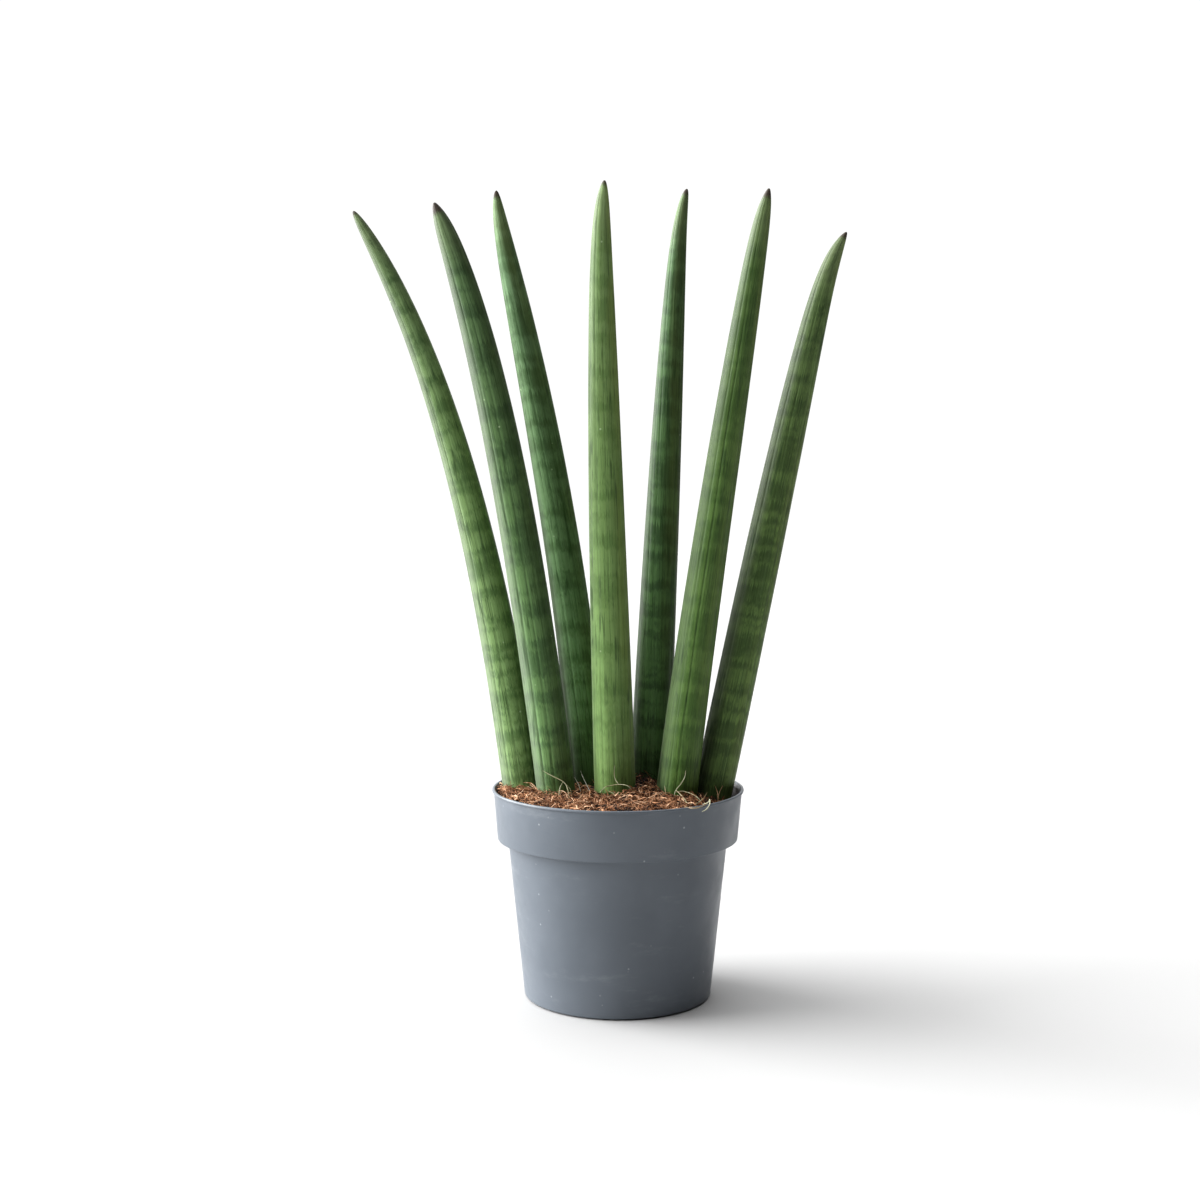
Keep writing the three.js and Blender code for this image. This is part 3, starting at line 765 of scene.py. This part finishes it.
def follow_spine(piece, leaf):
    """Bends a rod that stands on Z, with its root end lowest, along a leaf's spine."""
    curve = spine_curve(leaf)
    apply_modifier(piece, "CURVE", object=curve, deform_axis="POS_Z")
    bpy.data.objects.remove(curve)


def bend_turn(leaf):
    """How far the bend along a leaf's spine turns a rod about its own axis, read off a small flat square."""
    deselect_all()
    bpy.ops.mesh.primitive_plane_add(size=2 * MM)
    square = bpy.context.object
    follow_spine(square, leaf)
    points = points_of(square)
    bpy.data.objects.remove(square)
    side = points[1] - points[0]
    return math.atan2(side[1], side[0])


def bend_along(piece, leaf):
    """Bends a rod along a leaf's spine, with its X to the right and its Y to the back, and leans its tip."""
    from_tip = spine_length(leaf) - points_of(piece)[:, 2]
    piece.data.transform(Matrix.Rotation(-bend_turn(leaf), 4, "Z"))
    follow_spine(piece, leaf)
    points = points_of(piece)
    points[:, 0] += leaf.hook * np.exp(-from_tip / HOOK_REACH)
    move_points(piece, points)


def leaf_outline(leaf, rings):
    """A leaf's (radius, distance from the foot) points, from its root end to its tip, in millimetres."""
    outline = [(wide * leaf.radius, deep * ROOT_DEPTH) for wide, deep in ROOT_END]
    whole = spine_length(leaf)
    for ring in range(rings + 1):
        share = max((1 - ring / rings) ** RING_GATHER, POINT_CUT)
        thinned = leaf.spike * math.exp(-share * whole / SPIKE_REACH)
        radius = leaf.radius * (1 - (1 - share) ** leaf.swell) ** leaf.point * (1 - thinned)
        outline.append((radius, whole * (1 - share)))
    return outline


def groove_rod(rod, leaf, settings, seed):
    """Presses uneven grooves into a straight leaf, winds them, and stores where each point of it lies."""
    rng = random.Random(seed)
    grooves = range(settings.grooves)
    step = 2 * math.pi / len(grooves)
    places = [step * (i + 0.5 + rng.uniform(-GROOVE_STRAY, GROOVE_STRAY)) for i in grooves]
    strengths = [rng.uniform(GROOVE_SHALLOWEST, 1.0) for _ in grooves]
    rib_shifts = [rng.uniform(-RIB_SHIFT, RIB_SHIFT) * MM for _ in grooves]
    depth, width = settings.groove_depth / MM, settings.groove_width / MM
    whole = spine_length(leaf)
    points = points_of(rod)
    rods, pressed, shifts = [], [], []
    for i, (x, y, z) in enumerate(points):
        radius = math.hypot(x, y)
        turn = math.atan2(y, x) % (2 * math.pi) / step
        rib = int(turn + 1e-6)
        # How far the point lies from one groove to the next. Points stand closer together by the grooves.
        share = turn - rib
        share -= 0.08 * math.sin(2 * math.pi * share)
        rib %= len(grooves)
        start = places[rib]
        end = places[(rib + 1) % len(grooves)] + (2 * math.pi if rib + 1 == len(grooves) else 0)
        wander = GROOVE_WANDER * noise.noise(Vector((z / WANDER_LENGTH, seed, 0)))
        skin_bearing = start + (end - start) * share + wander + math.radians(leaf.turn)
        bearing = skin_bearing + math.radians(leaf.twist * z / whole)
        nearest = rib if share < 0.5 else (rib + 1) % len(grooves)
        gap = min(share, 1 - share) * step * max(radius, 0.5)
        deeper = noise.noise(Vector((z / DEPTH_LENGTH, nearest * 3.7, seed)))
        fullness = radius / leaf.radius
        press = strengths[nearest] * (0.62 + 0.55 * deeper) * math.exp(-(gap / width) ** 2) * fullness
        lump_place = Vector((math.cos(bearing), math.sin(bearing), z / LUMP_LENGTH + seed))
        crown = RIB_CROWN * math.sin(math.pi * share) - RIB_SINK
        wide = (radius + fullness * crown - depth * press) * (1 + LUMP_SHARE * noise.noise(lump_place))
        points[i, :2] = wide * math.cos(bearing), wide * math.sin(bearing)
        on_axis = radius <= 1e-6
        rods.append((0, 0, z * MM) if on_axis else (math.cos(skin_bearing), math.sin(skin_bearing), z * MM))
        pressed.append(min(1, max(0, press)))
        shifts.append(rib_shifts[rib])
    move_points(rod, points)
    write_attribute(rod.data, "rod", "FLOAT_VECTOR", rods)
    write_attribute(rod.data, "groove", "FLOAT", pressed)
    write_attribute(rod.data, "rib_shift", "FLOAT", shifts)


class PLANT_OT_leaves(bpy.types.Operator):
    """Draws out each leaf ring by ring, presses its grooves and bends it along its bow"""

    bl_idname = "plant.leaves"
    bl_label = "Leaves"

    def execute(self, context):
        settings = context.scene.plant_leaf
        for number, (leaf, look) in enumerate(zip(LEAVES, LEAF_LOOKS), start=1):
            rod = drawn_rod(f"leaf_{number}_skin", settings.sides, leaf_outline(leaf, settings.rings))
            groove_rod(rod, leaf, settings, look.seed)
            bend_along(rod, leaf)
            apply_modifier(rod, "SUBSURF", levels=1, render_levels=1)
            material = waxy_leaf_skin(settings, number, look, spine_length(leaf))
            finish_piece(rod, material, f"leaf_{number}")
        return {"FINISHED"}


# ---- Soil ----

BED_SIDES = 240
BED_RINGS = 72
CRUMB_KINDS = 8
FIBRE_KINDS = 28


def slope(value, low, high, full):
    """A slope's height where a value has come from low to high, eased at both ends."""
    share = min(1, max(0, (value - low) / (high - low)))
    return full * (share * share * (3 - 2 * share))


def bumps(x, y, spots):
    """The height of some round bumps over a point, each given as its x, y, spread and full height."""
    return sum(
        full * math.exp(-((x - spot_x) ** 2 + (y - spot_y) ** 2) / spread ** 2 / 2)
        for spot_x, spot_y, spread, full in spots
    )


def soil_height(x, y):
    """The height of the soil's top over a point, in millimetres."""
    slopes = slope(-x, *LEFT_RISE) - slope(x, *RIGHT_SINK) - slope(math.hypot(x, y), *WALL_SINK)
    ripple = 0.45 * math.sin(x * 0.41 + 1.3) * math.sin(y * 0.37) + 0.35 * math.sin(x * 0.83 + y * 0.71)
    return SOIL_LEVEL + bumps(x, y, HEAPS) + slopes + ripple


def crumbly_height(x, y):
    """The soil's height with its crumbs: lumps 7 mm wide and crumbs 2 mm wide."""
    lumps = noise.noise(Vector((x / 3.6, y / 3.6, 4.7)))
    crumbs = noise.noise(Vector((x / 1.1, y / 1.1, 9.2)))
    return soil_height(x, y) - 0.3 + 1.3 * lumps + 0.4 * crumbs


def kept_clear(x, y, gap):
    """A point of the soil's top, moved out of the leaves and off the wall."""
    for leaf in LEAVES:
        from_x, from_y = x - leaf.foot[0], y - leaf.foot[1]
        away, least = math.hypot(from_x, from_y), leaf.radius + gap
        if away < least:
            grow = least / max(away, 0.01)
            x, y = leaf.foot[0] + from_x * grow, leaf.foot[1] + from_y * grow
    out = math.hypot(x, y)
    if out > WALL_INSIDE - gap:
        x, y = x * (WALL_INSIDE - gap) / out, y * (WALL_INSIDE - gap) / out
    return x, y


def in_leaf(x, y, gap):
    """Whether a point lies in a leaf, or nearer to one than a gap."""
    return any(math.hypot(x - leaf.foot[0], y - leaf.foot[1]) < leaf.radius + gap for leaf in LEAVES)


def scattered(name, patterns, places, ground):
    """One mesh of many copies of some patterns, which lie on a ground. Each place is a pattern's number, x,
    y, lift, turn, tilt, size and tone."""
    points, faces, tones, start = [], [], [], 0
    for kind, x, y, lift, turn, tilt, size, tone in places:
        pattern_points, pattern_faces = patterns[kind]
        turned = Matrix.Rotation(turn, 3, "Z") @ Matrix.Rotation(tilt, 3, "Y")
        for point in pattern_points:
            place = turned @ (point * size)
            px, py = kept_clear(x + place.x, y + place.y, LOOSE_ROOM)
            points.append((px * MM, py * MM, (ground(px, py) + place.z + lift) * MM))
            tones.append(tone)
        faces.extend([start + corner for corner in face] for face in pattern_faces)
        start += len(pattern_points)
    mesh = bpy.data.meshes.new(name)
    mesh.from_pydata(points, [], faces)
    mesh.validate()
    write_attribute(mesh, "tone", "FLOAT", tones)
    piece = bpy.data.objects.new(name, mesh)
    bpy.context.scene.collection.objects.link(piece)
    return piece


def taken_pattern(piece):
    """The points, in millimetres, and the faces of a model that is then removed."""
    pattern = [v.co / MM for v in piece.data.vertices], [list(p.vertices) for p in piece.data.polygons]
    bpy.data.objects.remove(piece)
    return pattern


def crumb_pattern(rng):
    """A crumb: a ball of twenty faces, dented and drawn out of round."""
    deselect_all()
    bpy.ops.mesh.primitive_ico_sphere_add(subdivisions=1, radius=MM)
    crumb = bpy.context.object
    bpy.ops.object.mode_set(mode="EDIT")
    bpy.ops.mesh.select_all(action="SELECT")
    bpy.ops.transform.vertex_random(offset=0.35 * MM, seed=rng.randrange(1, 9999))
    bpy.ops.transform.resize(value=(rng.uniform(1, 1.8), rng.uniform(0.8, 1.2), rng.uniform(0.55, 0.9)))
    bpy.ops.object.mode_set(mode="OBJECT")
    return taken_pattern(crumb)


def tube(name, route, thickness, sections, sides_level, taper=0.35):
    """A closed tube along a route, thinner at both ends, in millimetres."""
    deselect_all()
    bpy.ops.curve.primitive_bezier_curve_add()
    strand = bpy.context.object
    strand.name = name
    knots = strand.data.splines[0].bezier_points
    knots.add(len(route) - 2)
    for i, (knot, place) in enumerate(zip(knots, route)):
        knot.co = Vector(place) * MM
        knot.handle_left_type = knot.handle_right_type = "AUTO"
        knot.radius = taper if i in (0, len(route) - 1) else 1.0
    strand.data.dimensions = "3D"
    strand.data.resolution_u = sections
    strand.data.bevel_depth = thickness / 2 * MM
    strand.data.bevel_resolution = sides_level
    strand.data.use_fill_caps = True
    select_only(strand)
    bpy.ops.object.convert(target="MESH")
    return bpy.context.object


def fibre_pattern(rng, radius, reach, knots, sections):
    """A fibre that curls as it lies."""
    curl, drift = rng.uniform(-1.0, 1.0), rng.uniform(-0.5, 0.5)
    route = []
    for i in range(knots):
        share = i / (knots - 1) - 0.5
        sway = reach * (0.4 * curl * (1 - 4 * share * share) + drift * share) + rng.uniform(-0.5, 0.5)
        rise = rng.uniform(-0.1, 1.4) if 0 < i < knots - 1 else rng.uniform(-0.9, 0.5)
        route.append((share * 2 * reach, sway, rise))
    return taken_pattern(tube("fibre", route, radius * 2 * (0.6 + 1.7 * rng.random() ** 3), sections, 0, 0.5))


class PLANT_OT_soil(bpy.types.Operator):
    """Fills the pot with coir: a crumbly bed with a hole for each leaf, under crumbs and curled fibres"""

    bl_idname = "plant.soil"
    bl_label = "Coir Soil"

    def execute(self, context):
        settings = context.scene.plant_soil
        rng = random.Random(settings.seed)
        self.make_bed(settings)
        crumbs = [crumb_pattern(rng) for _ in range(CRUMB_KINDS)]
        size = settings.crumb_size / MM
        measures = (-0.25, 0.9, size * 0.5, size * 1.7)
        places = [self.place(rng, CRUMB_KINDS, *measures) for _ in range(settings.crumbs)]
        self.scatter(settings, "coir_crumbs", crumbs, places, crumbly_height, "coir_crumb", 0.05)
        radius = settings.fibre_radius / MM
        for name, pieces, reach, knots, sections in (
            ("coir_fibres", settings.fibres, (1.5, 3.8), 4, 2),
            ("coir_strands", settings.strands, (3.6, 7.2), 5, 3),
        ):
            patterns = [
                fibre_pattern(rng, radius, rng.uniform(*reach), knots, sections) for _ in range(FIBRE_KINDS)
            ]
            places = [self.place(rng, FIBRE_KINDS, -0.5, 1.9, 0.7, 1.15) for _ in range(pieces)]
            self.scatter(settings, name, patterns, places, soil_height, name + "_husk", 0.0)
        return {"FINISHED"}

    def scatter(self, settings, name, patterns, places, ground, husk, hollow_share):
        """Lays patterns out at their places, and gives them their finish."""
        piece = scattered(name, patterns, [place for place in places if place], ground)
        finish_piece(piece, coir_fibre(settings, husk, hollow_share), "soil")

    def place(self, rng, kinds, low, high, small, large):
        """A random place for a crumb or fibre, or nothing where a leaf stands."""
        out, turn = SCATTER_REACH * math.sqrt(rng.random()), rng.uniform(0, 2 * math.pi)
        x, y = out * math.cos(turn), out * math.sin(turn)
        lift = low + (high - low) * rng.random() ** 1.6
        heading, tilt = rng.uniform(0, 2 * math.pi), rng.gauss(0, TILT_SPREAD)
        size = rng.uniform(small, large)
        # The coir is painted darker in shaded spots and towards the right side.
        damp = bumps(x, y, PAINTED_SHADE_SPOTS) + slope(x, *RIGHT_PAINTED_SHADE)
        tone = LOWEST_TONE + TONE_GAIN * (lift - low) / (high - low) - damp + rng.gauss(0, TONE_SPREAD)
        tone = min(1, max(0, tone))
        kind = rng.randrange(kinds)
        return None if in_leaf(x, y, 0.2) else (kind, x, y, lift, heading, tilt, size, tone)

    def make_bed(self, settings):
        """Draws the bed's body out, crumbles its top and cuts a hole for each leaf."""
        rim, rim_height = SOIL_SIDE[-1]
        inward = [(rim * (1 - i / BED_RINGS), SOIL_LEVEL) for i in range(1, BED_RINGS)]
        bed = drawn_rod("coir_bed", BED_SIDES, [*SOIL_SIDE, *inward])
        points = points_of(bed)
        for i, (x, y, z) in enumerate(points):
            if z > rim_height - 0.01:
                points[i, 2] = crumbly_height(x, y)
        move_points(bed, points)
        for leaf in LEAVES:
            reach = leaf.radius + SOCKET_ROOM
            outline = [(reach * 0.7, -ROOT_DEPTH), (reach, -ROOT_DEPTH * 0.7), (reach, 0), (reach, 12)]
            socket = drawn_rod("socket", 40, outline)
            bend_along(socket, leaf)
            apply_modifier(bed, "BOOLEAN", operation="DIFFERENCE", object=socket, solver="EXACT")
            bpy.data.objects.remove(socket)
        write_attribute(bed.data, "tone", "FLOAT", [BED_TONE] * len(bed.data.vertices))
        finish_piece(bed, coir_fibre(settings, "coir_bed_peat", 0.02), "soil", smooth_angle=60)


class PLANT_OT_hairs(bpy.types.Operator):
    """Lays the few long loose hairs that stand off the soil"""

    bl_idname = "plant.hairs"
    bl_label = "Loose Hairs"

    def execute(self, context):
        tubes = []
        for i, (thickness, paleness, route) in enumerate(HAIRS):
            hair = tube(f"hair_{i}", route, thickness, 8, 1)
            write_attribute(hair.data, "tone", "FLOAT", [paleness] * len(hair.data.vertices))
            tubes.append(hair)
        deselect_all()
        for hair in tubes:
            hair.select_set(True)
        context.view_layer.objects.active = tubes[0]
        bpy.ops.object.join()
        hairs = context.object
        hairs.name = hairs.data.name = "coir_hairs"
        finish_piece(hairs, dry_root_hair(), "soil")
        return {"FINISHED"}


# ---- Stage ----

# The camera's place in metres, how far it looks down, in radians, and its lens and sensor in millimetres.
CAMERA_PLACE = (-0.00844, -0.8477, 0.25704)
CAMERA_DIP = 0.0796
CAMERA_LENS = 53.93
CAMERA_SENSOR = 36
# How bright the room itself looks, behind the plant.
ROOM_GLOW = 1.05


class PLANT_OT_stage(bpy.types.Operator):
    """Lays a white floor, a soft key light from the left, a white room and the camera"""

    bl_idname = "plant.stage"
    bl_label = "Studio"

    def execute(self, context):
        settings = context.scene.plant_stage
        deselect_all()
        bpy.ops.mesh.primitive_plane_add(size=settings.floor_size)
        floor = context.object
        floor.name = floor.data.name = "studio_floor"
        floor.data.materials.append(matt_white_board(settings))
        # A sun shines down its own -Z: turned up from straight down to its height, then round to the left.
        up = settings.key_height - math.pi / 2
        bpy.ops.object.light_add(type="SUN", rotation=(0, up, -settings.key_back))
        key = context.object
        key.name = "key_light"
        key.data.energy = settings.key_strength
        key.data.angle = settings.key_spread
        self.light_room(settings)
        bpy.ops.object.camera_add(location=CAMERA_PLACE, rotation=(math.pi / 2 - CAMERA_DIP, 0, 0))
        camera = context.object
        camera.data.lens = CAMERA_LENS
        camera.data.sensor_width = CAMERA_SENSOR
        camera.data.sensor_fit = "HORIZONTAL"
        camera.data.clip_start = 0.01
        context.scene.camera = camera
        context.scene.view_settings.view_transform = "Standard"
        context.scene.view_settings.look = "None"
        return {"FINISHED"}

    def light_room(self, settings):
        """A white room that soft panels light, brightest at the left and behind the plant."""
        world = bpy.data.worlds.new("white_room")
        bpy.context.scene.world = world
        world.use_nodes = True
        world.node_tree.nodes.clear()
        add = partial(add_node, world.node_tree)
        way = add("TexCoord").outputs["Generated"]
        glow = 0.0
        for turn, height, strength, gathered in PANELS:
            turn, height = math.radians(turn), math.radians(height)
            centre = (math.sin(turn) * math.cos(height), -math.cos(turn) * math.cos(height), math.sin(height))
            facing = add("VectorMath", way, centre, operation="DOT_PRODUCT")
            near = add("Math", add("Math", facing, 0.0, operation="MAXIMUM"), gathered, operation="POWER")
            glow = add("Math", near, strength * settings.fill_strength, glow, operation="MULTIPLY_ADD")
        seen = add("LightPath").outputs["Is Camera Ray"]
        strength = add("Mix", seen, glow, ROOM_GLOW, data_type="FLOAT")
        add("OutputWorld", Surface=add("Background", Color=(1, 1, 1, 1), Strength=strength))


class PLANT_PT_sidebar(bpy.types.Panel):
    """Lists the plant's pieces and their settings"""

    bl_idname = "PLANT_PT_sidebar"
    bl_label = "Snake Plant"
    bl_space_type = "VIEW_3D"
    bl_region_type = "UI"
    bl_category = "Plant"

    def draw(self, context):
        for operator, settings in SECTIONS:
            box = self.layout.box()
            box.operator(operator)
            group = getattr(context.scene, settings)
            for name in group.bl_rna.properties.keys():
                if name not in ("rna_type", "name"):
                    box.prop(group, name)


SETTINGS = {
    "plant_pot": PotSettings, "plant_soil": SoilSettings,
    "plant_leaf": LeafSettings, "plant_stage": StageSettings,
}
SECTIONS = (
    ("plant.stage", "plant_stage"), ("plant.pot", "plant_pot"), ("plant.leaves", "plant_leaf"),
    ("plant.soil", "plant_soil"), ("plant.hairs", "plant_soil"),
)
CLASSES = (
    *SETTINGS.values(), PLANT_OT_stage, PLANT_OT_pot, PLANT_OT_leaves, PLANT_OT_soil, PLANT_OT_hairs,
    PLANT_PT_sidebar,
)


def register():
    for each in CLASSES:
        bpy.utils.register_class(each)
    for name, group in SETTINGS.items():
        setattr(bpy.types.Scene, name, bpy.props.PointerProperty(type=group))


def unregister():
    for name in SETTINGS:
        delattr(bpy.types.Scene, name)
    for each in reversed(CLASSES):
        bpy.utils.unregister_class(each)


def main():
    register()
    bpy.ops.plant.stage()
    bpy.ops.plant.pot()
    bpy.ops.plant.leaves()
    bpy.ops.plant.soil()
    bpy.ops.plant.hairs()


if __name__ == "__main__":
    main()
